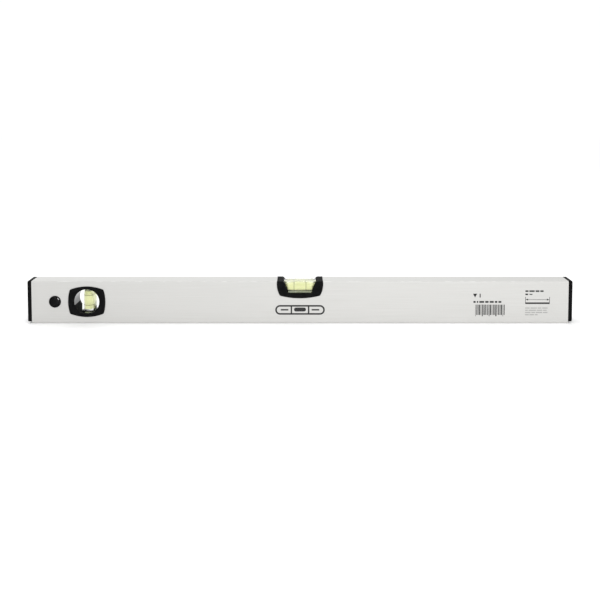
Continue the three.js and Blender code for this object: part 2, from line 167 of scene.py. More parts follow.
# Vials
BLOCK_EDGE = 0.3 * MM
BLOCK_SKIN = 0.35 * MM
BORE_RADIUS = 4.8 * MM
BARREL_ARC = 170 * MM
WETTED_GAP = 0.02 * MM
RING_WIDTH = 0.5 * MM
RING_DEPTH = 0.3 * MM
RING_GAP = 0.1 * MM
RING_PLAY = 0.01 * MM
RING_EDGE = 0.08 * MM
PLUG_GAP = 0.1 * MM
PLUG_RECESS = 0.5 * MM
PLUG_LEAD = 0.3 * MM
PLUG_DIMPLE = 0.4 * MM
GLUE = 0.25 * MM
GLUE_GAP = 0.02 * MM
LEVEL_BED_INSET = (5.25 * MM, 1.5 * MM)
PLUMB_BED_INSET = (1 * MM, 1 * MM)

# Printed ink
INK_THICKNESS = 0.03 * MM
INK_SINK = 0.005 * MM

# A vial's block, and its bore: the axis, and half lengths along it from the block's centre.
Vial = namedtuple("Vial", "low high centre axis half_length half_chamber ring_at plug_radius")


def vial_at(node, axis, **sizes):
    """A vial whose block is where the frame has that node."""
    low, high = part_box(node)
    return Vial(low, high, (low + high) / 2, axis, (high - low).dot(axis) / 2, **sizes)


LEVEL_VIAL = vial_at("level_vial_block", X, half_chamber=18 * MM, ring_at=6.625 * MM, plug_radius=3.6 * MM)
PLUMB_VIAL = vial_at("plumb_vial_block", Z, half_chamber=10 * MM, ring_at=5.5 * MM, plug_radius=4.25 * MM)


# ---- Mesh tools ----


def new_object(name, points, faces):
    mesh = bpy.data.meshes.new(name)
    mesh.from_pydata([tuple(p) for p in points], [], faces)
    obj = bpy.data.objects.new(name, mesh)
    bpy.context.scene.collection.objects.link(obj)
    face_outwards(obj)
    return obj


def face_outwards(obj):
    work = bmesh.new()
    work.from_mesh(obj.data)
    bmesh.ops.recalc_face_normals(work, faces=work.faces)
    work.to_mesh(obj.data)
    work.free()


def lofted(name, loops, joined=False):
    """Skins a row of loops with equally many points. The row closes on itself if joined."""
    count = len(loops[0])
    rows = len(loops)
    faces = []
    for row in range(rows if joined else rows - 1):
        here = row * count
        there = (row + 1) % rows * count
        for i in range(count):
            j = (i + 1) % count
            faces.append((here + i, here + j, there + j, there + i))
    if not joined:
        faces.append(tuple(reversed(range(count))))
        faces.append(tuple(range((rows - 1) * count, rows * count)))
    return new_object(name, [p for loop in loops for p in loop], faces)


def turned(name, profile, axis, centre):
    """Turns (radius, along) points around an axis. They start and end on it, or close on themselves."""
    frame_x = axis.orthogonal().normalized()
    frame_y = axis.cross(frame_x)
    on_axis = profile[0][0] == 0
    inner = profile[1:-1] if on_axis else profile
    rings = []
    for radius, along in inner:
        ring = []
        for i in range(ROUND):
            angle = 2 * math.pi * i / ROUND
            out = frame_x * math.cos(angle) + frame_y * math.sin(angle)
            ring.append(centre + axis * along + out * radius)
        rings.append(ring)
    return lofted(name, rings, joined=not on_axis)


def quadratic(start, bend, end, steps):
    """Points of a quadratic curve, without its last one."""
    points = []
    for i in range(steps):
        t = i / steps
        points.append(
            tuple(
                (1 - t) ** 2 * a + 2 * t * (1 - t) * b + t * t * c
                for a, b, c in zip(start, bend, end)
            )
        )
    return points


def straight(start, end, steps):
    middle = tuple((a + b) / 2 for a, b in zip(start, end))
    return quadratic(start, middle, end, steps)


def quarter_round(radius, steps):
    """A rounded edge in steps: how far in from its side, and how far down from its top."""
    angles = [math.pi / 2 * i / steps for i in range(steps + 1)]
    return [(radius * (1 - math.cos(angle)), radius * (1 - math.sin(angle))) for angle in angles]


def rounded_rectangle(half_width, low, high, radius):
    points = []
    steps = 8
    corners = (
        (half_width - radius, low + radius, -90),
        (half_width - radius, high - radius, 0),
        (radius - half_width, high - radius, 90),
        (radius - half_width, low + radius, 180),
    )
    for a, b, start in corners:
        for i in range(steps + 1):
            angle = math.radians(start + 90 * i / steps)
            points.append((a + radius * math.cos(angle), b + radius * math.sin(angle)))
    return points


def cushion(shape, inset):
    """A rectangle whose sides swell outwards between rounded corners, as (x, z) points."""
    side_steps, corner_steps = 24, 6
    x, z = shape["x"], shape["z"]
    w = shape["half_width"] - inset
    h = shape["half_height"] - inset
    u = 1 - CORNER_CUT / w
    v = 1 - CORNER_CUT / h
    side_x = w + shape["swell_x"] * (1 - v * v)
    side_bend = w + shape["swell_x"] * (1 + v * v)
    top_z = h + shape["swell_z"] * (1 - u * u)
    top_bend = h + shape["swell_z"] * (1 + u * u)
    curves = (
        ((side_x, -v * h), (side_bend, 0), (side_x, v * h), side_steps),
        ((side_x, v * h), (w, h), (u * w, top_z), corner_steps),
        ((u * w, top_z), (0, top_bend), (-u * w, top_z), side_steps),
        ((-u * w, top_z), (-w, h), (-side_x, v * h), corner_steps),
        ((-side_x, v * h), (-side_bend, 0), (-side_x, -v * h), side_steps),
        ((-side_x, -v * h), (-w, -h), (-u * w, -top_z), corner_steps),
        ((-u * w, -top_z), (0, -top_bend), (u * w, -top_z), side_steps),
        ((u * w, -top_z), (w, -h), (side_x, -v * h), corner_steps),
    )
    return [(x + a, z + b) for curve in curves for a, b in quadratic(*curve)]


def prism(name, outline, y0, y1):
    """An (x, z) outline given a thickness in Y."""
    return lofted(name, [[(x, y, z) for x, z in outline] for y in (y0, y1)])


def hollow_bar(name, outer, inner, x0, x1):
    """A bar along X between two (y, z) outlines, open at both ends."""
    rows = ((outer, x0), (outer, x1), (inner, x1), (inner, x0))
    return lofted(name, [[(x, y, z) for y, z in outline] for outline, x in rows], joined=True)


def block(name, low, high):
    corners = [(x, y, z) for x in (low[0], high[0]) for y in (low[1], high[1]) for z in (low[2], high[2])]
    faces = [(0, 1, 3, 2), (4, 6, 7, 5), (0, 4, 5, 1), (2, 3, 7, 6), (0, 2, 6, 4), (1, 5, 7, 3)]
    return new_object(name, corners, faces)


def settle(obj):
    """Applies the object's modifiers to its mesh."""
    graph = bpy.context.evaluated_depsgraph_get()
    mesh = bpy.data.meshes.new_from_object(
        obj.evaluated_get(graph), preserve_all_data_layers=True, depsgraph=graph
    )
    old = obj.data
    obj.modifiers.clear()
    obj.data = mesh
    mesh.name = obj.name
    bpy.data.meshes.remove(old)


def combine(obj, tool, operation="DIFFERENCE"):
    modifier = obj.modifiers.new("combine", "BOOLEAN")
    modifier.operation = operation
    modifier.solver = "EXACT"
    modifier.object = tool
    settle(obj)
    mesh = tool.data
    bpy.data.objects.remove(tool)
    bpy.data.meshes.remove(mesh)


def soften(obj, width):
    """Rounds the edges that turn by more than 40 degrees."""
    modifier = obj.modifiers.new("soften", "BEVEL")
    modifier.width = width
    modifier.segments = 3
    modifier.limit_method = "ANGLE"
    modifier.angle_limit = math.radians(40)
    settle(obj)


def shade(obj, angle=32):
    """Smooth shading that keeps flat faces flat and edges over angle sharp."""
    limit = math.radians(angle)
    work = bmesh.new()
    work.from_mesh(obj.data)
    for face in work.faces:
        face.smooth = True
    for edge in work.edges:
        edge.smooth = len(edge.link_faces) == 2 and edge.calc_face_angle(0) < limit
    work.to_mesh(obj.data)
    work.free()
    modifier = obj.modifiers.new("normals", "WEIGHTED_NORMAL")
    modifier.keep_sharp = True
    modifier.weight = 100
    settle(obj)


def give_looks(obj, looks, look_of):
    """Gives the object these materials, and each face the one that look_of names."""
    for material in looks:
        obj.data.materials.append(material)
    for face in obj.data.polygons:
        face.material_index = looks.index(look_of(face))


def finish_piece(obj, material, body, node):
    if not obj.data.materials:
        obj.data.materials.append(material)
    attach(obj, body)
    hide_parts(node)


# ---- Materials ----


class Nodes:
    """A material's node tree, with short calls to add nodes and link them."""

    def __init__(self, name):
        self.material = bpy.data.materials.new(name)
        self.material.use_nodes = True
        self.tree = self.material.node_tree
        self.shader = self.tree.nodes["Principled BSDF"]

    def add(self, kind, inputs=None, **settings):
        node = self.tree.nodes.new(kind)
        for key, value in settings.items():
            setattr(node, key, value)
        for key, value in (inputs or {}).items():
            if isinstance(value, bpy.types.NodeSocket):
                self.tree.links.new(value, node.inputs[key])
            else:
                node.inputs[key].default_value = value
        return node

    def set(self, **values):
        for key, value in values.items():
            socket = self.shader.inputs[key.replace("_", " ")]
            if isinstance(value, bpy.types.NodeSocket):
                self.tree.links.new(value, socket)
            else:
                socket.default_value = value

    def place(self, scale):
        """The point in the piece's own space, scaled along each axis."""
        coordinates = self.add("ShaderNodeTexCoord")
        mapping = self.add("ShaderNodeMapping", {"Vector": coordinates.outputs["Object"], "Scale": scale})
        return mapping.outputs["Vector"]

    def noise(self, scale, detail=2, roughness=0.5):
        """Noise with so many waves to a metre: one number, or one for each axis."""
        if not isinstance(scale, tuple):
            scale = (scale, scale, scale)
        node = self.add(
            "ShaderNodeTexNoise",
            {"Vector": self.place(scale), "Scale": 1, "Detail": detail, "Roughness": roughness},
        )
        return node.outputs["Fac"]

    def spread(self, value, low, high, from_low=0.3, from_high=0.7):
        node = self.add(
            "ShaderNodeMapRange",
            {"Value": value, "From Min": from_low, "From Max": from_high, "To Min": low, "To Max": high},
        )
        return node.outputs["Result"]

    def math(self, operation, a, b=0):
        return self.add("ShaderNodeMath", {0: a, 1: b}, operation=operation).outputs[0]

    def mix(self, factor, a, b):
        node = self.add("ShaderNodeMix", {"Factor": factor}, data_type="RGBA")
        for index, value in ((6, a), (7, b)):
            if isinstance(value, bpy.types.NodeSocket):
                self.tree.links.new(value, node.inputs[index])
            else:
                node.inputs[index].default_value = (*value, 1)
        return node.outputs[2]

    def tones(self, noise, dark, light, from_low=0.3, from_high=0.7):
        """A colour that drifts between two tones with the noise."""
        return self.mix(self.spread(noise, 0, 1, from_low, from_high), dark, light)

    def bump(self, height, strength, distance):
        node = self.add("ShaderNodeBump", {"Height": height, "Strength": strength, "Distance": distance})
        return node.outputs["Normal"]


def coated_aluminium():
    """Pale silver coat over an extruded section: lengthwise draw lines, faint mottling, rubbed edges."""
    m = Nodes("coated_aluminium")
    draw_lines = m.noise((14, 900, 900), detail=4)
    mottle = m.noise(60)
    speck = m.noise(4000)
    tone = m.tones(draw_lines, (0.496, 0.492, 0.476), (0.542, 0.539, 0.525))
    tone = m.mix(m.spread(mottle, 0, 0.5), tone, (0.518, 0.516, 0.500))
    tone = m.mix(m.spread(speck, 0, 0.12, 0.45, 0.75), tone, (0.42, 0.42, 0.41))
    point = m.add("ShaderNodeSeparateXYZ", {0: m.place((1, 1, 1))})
    rub_start, rub_full = 0.9 * MM, 0.3 * MM
    from_axis = m.math("ABSOLUTE", point.outputs[1])
    near_side = m.spread(from_axis, 0, 1, FACE_Y - rub_start, FACE_Y - rub_full)
    from_middle = m.math("ABSOLUTE", m.math("SUBTRACT", point.outputs[2], HEIGHT / 2))
    near_edge = m.spread(from_middle, 0, 1, HEIGHT / 2 - rub_start, HEIGHT / 2 - rub_full)
    rub = m.math("MULTIPLY", near_side, near_edge)
    patchy = m.spread(m.noise((90, 500, 500), detail=5), 0, 1, 0.5, 0.62)
    rub = m.math("MULTIPLY", rub, patchy)
    m.set(
        Base_Color=m.mix(rub, tone, (0.74, 0.74, 0.73)),
        Metallic=m.math("MULTIPLY", rub, 0.6),
        Roughness=m.spread(draw_lines, 0.40, 0.52),
        Normal=m.bump(m.math("ADD", draw_lines, m.math("MULTIPLY", speck, 0.6)), 0.25, 0.02 * MM),
        Specular_IOR_Level=0.45,
    )
    return m.material


def moulded_black():
    """Black ABS with a fine spark-eroded grain."""
    m = Nodes("moulded_black")
    grain = m.noise(5200, detail=3, roughness=0.6)
    cloud = m.noise(240, detail=3)
    m.set(
        Base_Color=m.tones(cloud, (0.0040, 0.0040, 0.0043), (0.0080, 0.0080, 0.0083)),
        Roughness=m.spread(cloud, 0.48, 0.62),
        Normal=m.bump(grain, 0.35, 0.03 * MM),
        Specular_IOR_Level=0.02,
    )
    return m.material


def polished_black():
    """The same plastic where a smooth core shaped it, inside the plumb vial's window."""
    m = Nodes("polished_black")
    cloud = m.noise(300, detail=3)
    m.set(
        Base_Color=m.tones(cloud, (0.0025, 0.0025, 0.0028), (0.0055, 0.0055, 0.0058)),
        Roughness=m.spread(cloud, 0.10, 0.20),
        Specular_IOR_Level=0.9,
    )
    return m.material


def clear_acrylic():
    """Polished acrylic with the palest green cast."""
    m = Nodes("clear_acrylic")
    cloud = m.noise(150)
    m.set(
        Base_Color=m.tones(cloud, (0.955, 0.985, 0.935), (0.985, 1.0, 0.975)),
        Roughness=0.015,
        IOR=1.49,
        Transmission_Weight=1.0,
    )
    return m.material


def glue_with_painted_tint():
    """What shows through the acrylic's foot: cloudy glue, with a painted tint that stands in for the light
    coming through the liquid above it.
    """
    m = Nodes("glue_with_painted_tint")
    cloud = m.noise(350)
    m.set(
        # The glue's own cloudy colour, plus a painted yellow-green tint of the light that comes down through
        # the liquid.
        Base_Color=m.tones(cloud, (0.32, 0.36, 0.23), (0.40, 0.45, 0.30)),
        Roughness=0.4,
        Specular_IOR_Level=0.1,
    )
    return m.material


def wetted_wall():
    """The wall of a filled bore: liquid of nearly the acrylic's index hides it."""
    m = Nodes("wetted_wall")
    m.set(Base_Color=(0.9, 1.0, 0.8, 1), Alpha=0.0)
    return m.material


def vial_liquid():
    """Yellow-green spirit: some light scatters in it, and the rest passes, tinted by depth. Its emission is a
    painted glow.
    """
    m = Nodes("vial_liquid")
    cloud = m.noise(200, detail=1)
    m.set(
        Base_Color=m.tones(cloud, (0.93, 0.945, 0.68), (0.97, 0.975, 0.76)),
        Roughness=0.0,
        IOR=1.0,
        Transmission_Weight=0.6,
        Specular_IOR_Level=0.0,
        # Painted glow: the emission makes the liquid give off light though it is no lamp.
        Emission_Color=(0.95, 0.93, 0.55, 1),
        Emission_Strength=0.09,
    )
    depth = m.add("ShaderNodeVolumeAbsorption", {"Color": (0.88, 0.89, 0.10, 1), "Density": 50})
    m.tree.links.new(depth.outputs[0], m.tree.nodes["Material Output"].inputs["Volume"])
    return m.material


def air_bubble():
    """Air inside the liquid bends light the other way round, so its index is below one."""
    m = Nodes("air_bubble")
    cloud = m.noise(400, detail=1)
    glass = m.add(
        "ShaderNodeBsdfGlass",
        {
            "Color": m.tones(cloud, (0.97, 0.99, 0.9), (1.0, 1.0, 0.96)),
            "Roughness": 0.0,
            "IOR": 0.9,
        },
    )
    output = m.tree.nodes["Material Output"]
    m.tree.links.new(glass.outputs[0], output.inputs["Surface"])
    m.tree.nodes.remove(m.shader)
    return m.material


def marking_black():
    m = Nodes("marking_black")
    cloud = m.noise(900)
    m.set(
        Base_Color=m.tones(cloud, (0.012, 0.014, 0.008), (0.022, 0.026, 0.014)),
        Roughness=0.6,
    )
    return m.material


def plug_plastic():
    m = Nodes("plug_plastic")
    cloud = m.noise(700)
    m.set(
        Base_Color=m.tones(cloud, (0.46, 0.50, 0.30), (0.58, 0.62, 0.40)),
        Roughness=0.35,
    )
    return m.material


def set_glue():
    m = Nodes("set_glue")
    cloud = m.noise(500, detail=3)
    m.set(
        Base_Color=m.tones(cloud, (0.30, 0.30, 0.26), (0.42, 0.42, 0.36)),
        Roughness=0.3,
    )
    return m.material


def printed_ink():
    """Screen-printed dark grey ink, thin enough in places for the coat to show through."""
    m = Nodes("printed_ink")
    cover = m.noise(2500, detail=3)
    m.set(
        Base_Color=m.tones(cover, (0.010, 0.010, 0.011), (0.030, 0.030, 0.030), 0.35, 0.75),
        Roughness=m.spread(cover, 0.45, 0.6),
        Specular_IOR_Level=0.3,
    )
    return m.material


def pale_ink():
    m = Nodes("pale_ink")
    cover = m.noise(2500, detail=3)
    m.set(
        Base_Color=m.tones(cover, (0.27, 0.27, 0.265), (0.36, 0.36, 0.35)),
        Roughness=0.55,
    )
    return m.material


ALUMINIUM = coated_aluminium()
BLACK = moulded_black()
POLISHED = polished_black()
ACRYLIC = clear_acrylic()
BEDDING_WITH_PAINTED_TINT = glue_with_painted_tint()
WETTED = wetted_wall()
LIQUID = vial_liquid()
BUBBLE = air_bubble()
MARKING = marking_black()
PLUG = plug_plastic()
GLUE_LOOK = set_glue()
INK = printed_ink()
PALE_INK = pale_ink()


# ---- Box section ----


def make_section():
    """The extrusion, with its cut-outs for the housings, the ears and the bush."""
    outer = rounded_rectangle(FACE_Y, 0, HEIGHT, SECTION_RADIUS)
    inner = rounded_rectangle(FACE_Y - SIDE_WALL, EDGE_WALL, HEIGHT - EDGE_WALL, INNER_RADIUS)
    section = hollow_bar("section", outer, inner, -SECTION_END, SECTION_END)
    reach = FACE_Y + PAST
    combine(section, prism("cut", cushion(LEVEL_CUSHION, CUT_LAP), -reach, reach))
    combine(section, prism("cut", cushion(PLUMB_CUSHION, CUT_LAP), -reach, reach))
    ear_cut = EAR_HALF + EAR_GAP
    combine(section, block("cut", (-ear_cut, -reach, HEIGHT - EAR_DEPTH), (ear_cut, reach, HEIGHT + PAST)))
    hole = [(0, -reach), (BUSH_CUTOUT, -reach), (BUSH_CUTOUT, reach), (0, reach)]
    combine(section, turned("cut", hole, Y, Vector((BUSH_X, 0, BUSH_Z))))
    shade(section)
    finish_piece(section, ALUMINIUM, "frame", "body_profile")


# ---- End caps ----


def make_spigot(side):
    """A hollow spigot, with crush ribs that hold it in the section."""
    half_y = FACE_Y - SIDE_WALL - SPIGOT_GAP
    low = EDGE_WALL + SPIGOT_GAP
    high = HEIGHT - EDGE_WALL - SPIGOT_GAP
    outer = rounded_rectangle(half_y, low, high, INNER_RADIUS)
    inner = rounded_rectangle(half_y - SPIGOT_WALL, low + SPIGOT_WALL, high - SPIGOT_WALL, INNER_RADIUS)
    root = side * (SECTION_END + LAP)
    spigot = hollow_bar("spigot", outer, inner, root, side * CAP_TIP)
    x_low, x_high = sorted((root, side * (SECTION_END - RIB_LENGTH)))

    def add_rib(y0, y1, z0, z1):
        combine(spigot, block("rib", (x_low, y0, z0), (x_high, y1, z1)), "UNION")

    for face in (FRONT, REAR):
        y_low, y_high = sorted((face * (half_y - LAP), face * (half_y + RIB_HEIGHT)))
        for z in (HEIGHT / 2 - SIDE_RIB_Z, HEIGHT / 2 + SIDE_RIB_Z):
            add_rib(y_low, y_high, z - RIB_HALF_WIDTH, z + RIB_HALF_WIDTH)
    for y in (-EDGE_RIB_Y, EDGE_RIB_Y):
        for z_low, z_high in ((low - RIB_HEIGHT, low + LAP), (high - LAP, high + RIB_HEIGHT)):
            add_rib(y - RIB_HALF_WIDTH, y + RIB_HALF_WIDTH, z_low, z_high)
    return spigot


def make_cap(side, name, node):
    """A crowned plate with soft edges, on its spigot."""

    def loop(inset_y, inset_z, x_at):
        radius = max(SECTION_RADIUS - min(inset_y, inset_z), CAP_LEAST_CORNER)
        outline = rounded_rectangle(FACE_Y - inset_y, CAP_FOOT + inset_z, HEIGHT - inset_z, radius)
        return [(side * x_at(y), y, z) for y, z in outline]

    def crowned(y):
        return HALF_LENGTH - CAP_CROWN * (y / FACE_Y) ** 2

    def edge(inset, drop):
        fall = CAP_SIDE_EDGE * drop
        return loop(CAP_SIDE_EDGE * inset, CAP_END_EDGE * inset, lambda y: crowned(y) - fall)

    loops = [
        loop(CAP_SEAM, CAP_SEAM, lambda y: SECTION_END),
        loop(0, 0, lambda y: SECTION_END + CAP_SEAM),
    ]
    loops += [edge(inset, drop) for inset, drop in quarter_round(1, 8)]
    loops += [loop(inset, inset, crowned) for inset in CAP_CROWN_ROWS]
    cap = lofted(name, loops)
    combine(cap, make_spigot(side), "UNION")
    shade(cap)
    finish_piece(cap, BLACK, "frame", node)


# ---- Hanging bush ----


def make_bush(side, name, node):
    """Half of the bush: a tube, and a flange with a filleted rim and a rounded mouth."""
    rim_end = (BUSH_FLANGE - BUSH_FILLET, OUTER_Y)
    mouth_end = (BUSH_BORE, OUTER_Y - BUSH_MOUTH)
    profile = [(BUSH_BORE, 0), (BUSH_TUBE, 0), (BUSH_TUBE, FACE_Y), (BUSH_FLANGE, FACE_Y)]
    profile += quadratic((BUSH_FLANGE, OUTER_Y - BUSH_FILLET), (BUSH_FLANGE, OUTER_Y), rim_end, 4)
    profile += [rim_end]
    profile += quadratic((BUSH_BORE + BUSH_MOUTH, OUTER_Y), (BUSH_BORE, OUTER_Y), mouth_end, 5)
    profile += [mouth_end]
    bush = turned(name, [(r, side * y) for r, y in profile], Y, Vector((BUSH_X, 0, BUSH_Z)))
    shade(bush)
    finish_piece(bush, BLACK, "frame", node)


# ---- Housings ----


def add_locators(shell, side, spots, radius):
    """Locating pins on a front shell, and their sockets in a rear one."""
    pin = [(0, -PAST), (radius, -PAST), (radius, PIN_LENGTH - PIN_LEAD)]
    pin += [(radius - PIN_LEAD, PIN_LENGTH), (0, PIN_LENGTH)]
    wide = radius + SOCKET_GAP
    socket = [(0, -PAST), (wide, -PAST), (wide, SOCKET_DEPTH), (0, SOCKET_DEPTH)]
    for x, z in spots:
        spot = Vector((x, 0, z))
        if side == FRONT:
            combine(shell, turned("pin", pin, Y, spot), "UNION")
        else:
            combine(shell, turned("socket", socket, Y, spot))


def cut_seat(shell, vial, bed_inset):
    """Makes room for the vial's block, and under it for the glue."""
    inset_x, inset_y = bed_inset
    low, high = vial.low, vial.high
    combine(shell, block("seat", low, high))
    bed_low = (low.x + inset_x, low.y + inset_y, low.z - GLUE)
    bed_high = (high.x - inset_x, high.y - inset_y, vial.centre.z)
    combine(shell, block("glue_bed", bed_low, bed_high))


def window_look(face):
    """The upper wall of the plumb vial's window is polished, and so is its floor behind the vial."""
    x, y, z = face.center
    away = math.hypot(x - PLUMB_X, z - PLUMB_Z)
    tolerance = 0.05 * MM
    on_wall = away < WINDOW_RADIUS + tolerance and abs(face.normal.y) < 0.2
    upper = z > PLUMB_Z - POLISH_BELOW_MIDDLE
    behind_vial = z < PLUMB_Z - POLISHED_FLOOR_BELOW_MIDDLE and y > 0
    return POLISHED if on_wall and (upper or behind_vial) else BLACK


def make_plumb_shell(side, name, node):
    """A cushion-shaped flange and neck around a round window, as one ring swept round its middle."""
    full = cushion(PLUMB_CUSHION, 0)
    neck = cushion(PLUMB_CUSHION, CUT_LAP + NECK_GAP)

    def window(radius):
        """The window's outline, point for point inside the cushion's."""
        points = []
        for x, z in full:
            share = radius / math.hypot(x - PLUMB_X, z - PLUMB_Z)
            points.append((PLUMB_X + (x - PLUMB_X) * share, PLUMB_Z + (z - PLUMB_Z) * share))
        return points

    rows = [(neck, 0), (neck, FACE_Y), (full, FACE_Y)]
    for inset, drop in quarter_round(FLANGE_EDGE, 4):
        rows.append((cushion(PLUMB_CUSHION, inset), OUTER_Y - drop))
    for drop, widening in quarter_round(WINDOW_LIP, 4):
        rows.append((window(WINDOW_RADIUS + widening), OUTER_Y - drop))
    rows.append((window(WINDOW_RADIUS), 0))
    loops = [[(x, side * y, z) for x, z in outline] for outline, y in rows]
    shell = lofted(name, loops, joined=True)
    cut_seat(shell, PLUMB_VIAL, PLUMB_BED_INSET)
    add_locators(shell, side, **PLUMB_PINS)
    give_looks(shell, (BLACK, POLISHED), window_look)
    shade(shell)
    finish_piece(shell, BLACK, "frame", node)


# The level housing's two outlines have equally many points: 12 + 8 steps outside, 6 + 9 + 5 inside.
LEVEL_SIDE_STEPS, LEVEL_CORNER_STEPS = 12, 8
LEVEL_LIP_STEPS, LEVEL_FLANK_STEPS, LEVEL_FOOT_STEPS = 6, 9, 5
LEVEL_FLOOR_STEPS = 32


def level_outer(inset):
    """The level housing's outline from the top of its right ear, under the vial, to the left ear."""
    shape = LEVEL_CUSHION
    w = shape["half_width"] - inset
    h = shape["half_height"] - inset
    u = 1 - CORNER_CUT / w
    v = 1 - CORNER_CUT / h
    rise = HEIGHT - shape["z"]

    def side(z):
        return w + shape["swell_x"] * (1 - (z / h) ** 2)

    right = []
    for i in range(LEVEL_SIDE_STEPS):
        z = rise + (-v * h - rise) * i / LEVEL_SIDE_STEPS
        right.append((side(z), z))
    corner_start = (side(-v * h), -v * h)
    floor_z = -(h + shape["swell_z"] * (1 - u * u))
    right += quadratic(corner_start, (w, -h), (u * w, floor_z), LEVEL_CORNER_STEPS)
    floor_bend = -(h + shape["swell_z"] * (1 + u * u))
    floor = quadratic((u * w, floor_z), (0, floor_bend), (-u * w, floor_z), LEVEL_FLOOR_STEPS)
    left = [(-u * w, floor_z)] + [(-a, b) for a, b in reversed(right)]
    return [(a, shape["z"] + b) for a, b in right + floor + left]


def level_inner():
    """The opening's outline, point for point beside level_outer."""
    floor_z = LEVEL_VIAL.low.z
    base = OPENING_HALF_BASE
    corner = OPENING_CORNER
    lip = (OPENING_HALF_TOP, HEIGHT)
    lip_bend = (OPENING_TOP_BEND, HEIGHT)
    foot = (base, floor_z + corner)
    foot_end = (base - corner, floor_z)
    flank = quadratic(lip, lip_bend, OPENING_SHOULDER, LEVEL_LIP_STEPS)
    flank += quadratic(OPENING_SHOULDER, OPENING_BEND, foot, LEVEL_FLANK_STEPS)
    flank += quadratic(foot, (base, floor_z), foot_end, LEVEL_FOOT_STEPS)
    floor = straight(foot_end, (corner - base, floor_z), LEVEL_FLOOR_STEPS)
    left = [(corner - base, floor_z)] + [(-a, b) for a, b in reversed(flank)]
    return flank + floor + left


def make_level_shell(side, name, node):
    """A U-shaped flange and neck, as a section swept from one ear to the other, with wider ears on it."""
    outer = level_outer(0)
    neck = level_outer(CUT_LAP + NECK_GAP)
    inner = level_inner()
    stations = []
    for (ox, oz), (nx, nz), (ix, iz) in zip(outer, neck, inner):
        ring = [
            (nx, 0, nz),
            (nx, FACE_Y, nz),
            (ox, FACE_Y, oz),
            (ox, OUTER_Y, oz),
            (ix, OUTER_Y, iz),
            (ix, 0, iz),
        ]
        stations.append([(x, side * y, z) for x, y, z in ring])
    shell = lofted(name, stations)
    y_low, y_high = sorted((0, side * (FACE_Y + EAR_LAP)))
    ear_foot = HEIGHT - EAR_DEPTH + EAR_GAP
    for end in (LEFT, RIGHT):
        x_low, x_high = sorted((end * EAR_ROOT, end * EAR_HALF))
        combine(shell, block("ear", (x_low, y_low, ear_foot), (x_high, y_high, HEIGHT)), "UNION")
    soften(shell, FLANGE_EDGE)
    cut_seat(shell, LEVEL_VIAL, LEVEL_BED_INSET)
    add_locators(shell, side, **LEVEL_PINS)
    shade(shell)
    finish_piece(shell, BLACK, "frame", node)


# ---- Vials ----


def bore_radius(along):
    """The barrel's radius at a distance along it from its middle."""
    return BORE_RADIUS - along * along / (2 * BARREL_ARC)


def barrel_points(half_chamber, shrink):
    """The barrel's wall as (radius, along) points, all of it pulled in by shrink."""
    end = half_chamber - shrink
    steps = 24
    points = []
    for i in range(steps + 1):
        along = -end + 2 * end * i / steps
        points.append((bore_radius(along) - shrink, along))
    return points


def bore_profile(vial):
    """The whole bore: the barrel, a groove for each ring, and the plug's hole."""
    groove = bore_radius(vial.ring_at) + RING_DEPTH + RING_GAP
    half_groove = RING_WIDTH / 2 + RING_GAP
    profile = [(0, -vial.half_chamber), *barrel_points(vial.half_chamber, 0)]
    for at in (-vial.ring_at, vial.ring_at):
        start, end = at - half_groove, at + half_groove
        profile = [point for point in profile if not start <= point[1] <= end]
        profile += [(bore_radius(start), start), (groove, start), (groove, end), (bore_radius(end), end)]
    profile.sort(key=lambda point: point[1])
    hole = vial.plug_radius + PLUG_GAP
    mouth = vial.half_length + PAST
    return profile + [(hole, vial.half_chamber), (hole, mouth), (0, mouth)]


def make_block(name, node, vial):
    """An acrylic block with soft edges, a barrel bore, two ring grooves and a plug hole."""
    piece = block(name, vial.low, vial.high)
    soften(piece, BLOCK_EDGE)
    combine(piece, turned("bore", bore_profile(vial), vial.axis, vial.centre))
    skin = Vector((BLOCK_SKIN, BLOCK_SKIN, BLOCK_SKIN))
    inner_low = vial.low + skin
    inner_high = vial.high - skin

    def look_of(face):
        """Liquid wets the bore, glue with a painted tint shows through the flat foot, and the foot's bevelled
        edges are painted shade.
        """
        if all(a < c < b for a, c, b in zip(inner_low, face.center, inner_high)):
            return WETTED
        leans_down = face.normal.z < -0.3
        flat = face.normal.z < -0.99
        # Painted shade: the foot's bevelled edges take the black plastic, which darkens the bottom edge of
        # the vial.
        if face.center.z < vial.low.z + BLOCK_EDGE and leans_down:
            return BEDDING_WITH_PAINTED_TINT if flat else BLACK
        return ACRYLIC

    give_looks(piece, (ACRYLIC, WETTED, BEDDING_WITH_PAINTED_TINT, BLACK), look_of)
    shade(piece)
    finish_piece(piece, ACRYLIC, "frame", node)


def make_ring(name, node, vial, at):
    inner = bore_radius(at) + RING_PLAY
    outer = inner + RING_DEPTH
    start = at - RING_WIDTH / 2
    end = at + RING_WIDTH / 2
    profile = [
        (inner, start + RING_EDGE),
        (inner + RING_EDGE, start),
        (outer - RING_EDGE, start),
        (outer, start + RING_EDGE),
        (outer, end - RING_EDGE),
        (outer - RING_EDGE, end),
        (inner + RING_EDGE, end),
        (inner, end - RING_EDGE),
    ]
    ring = turned(name, profile, vial.axis, vial.centre)
    shade(ring, 50)
    finish_piece(ring, MARKING, "frame", node)


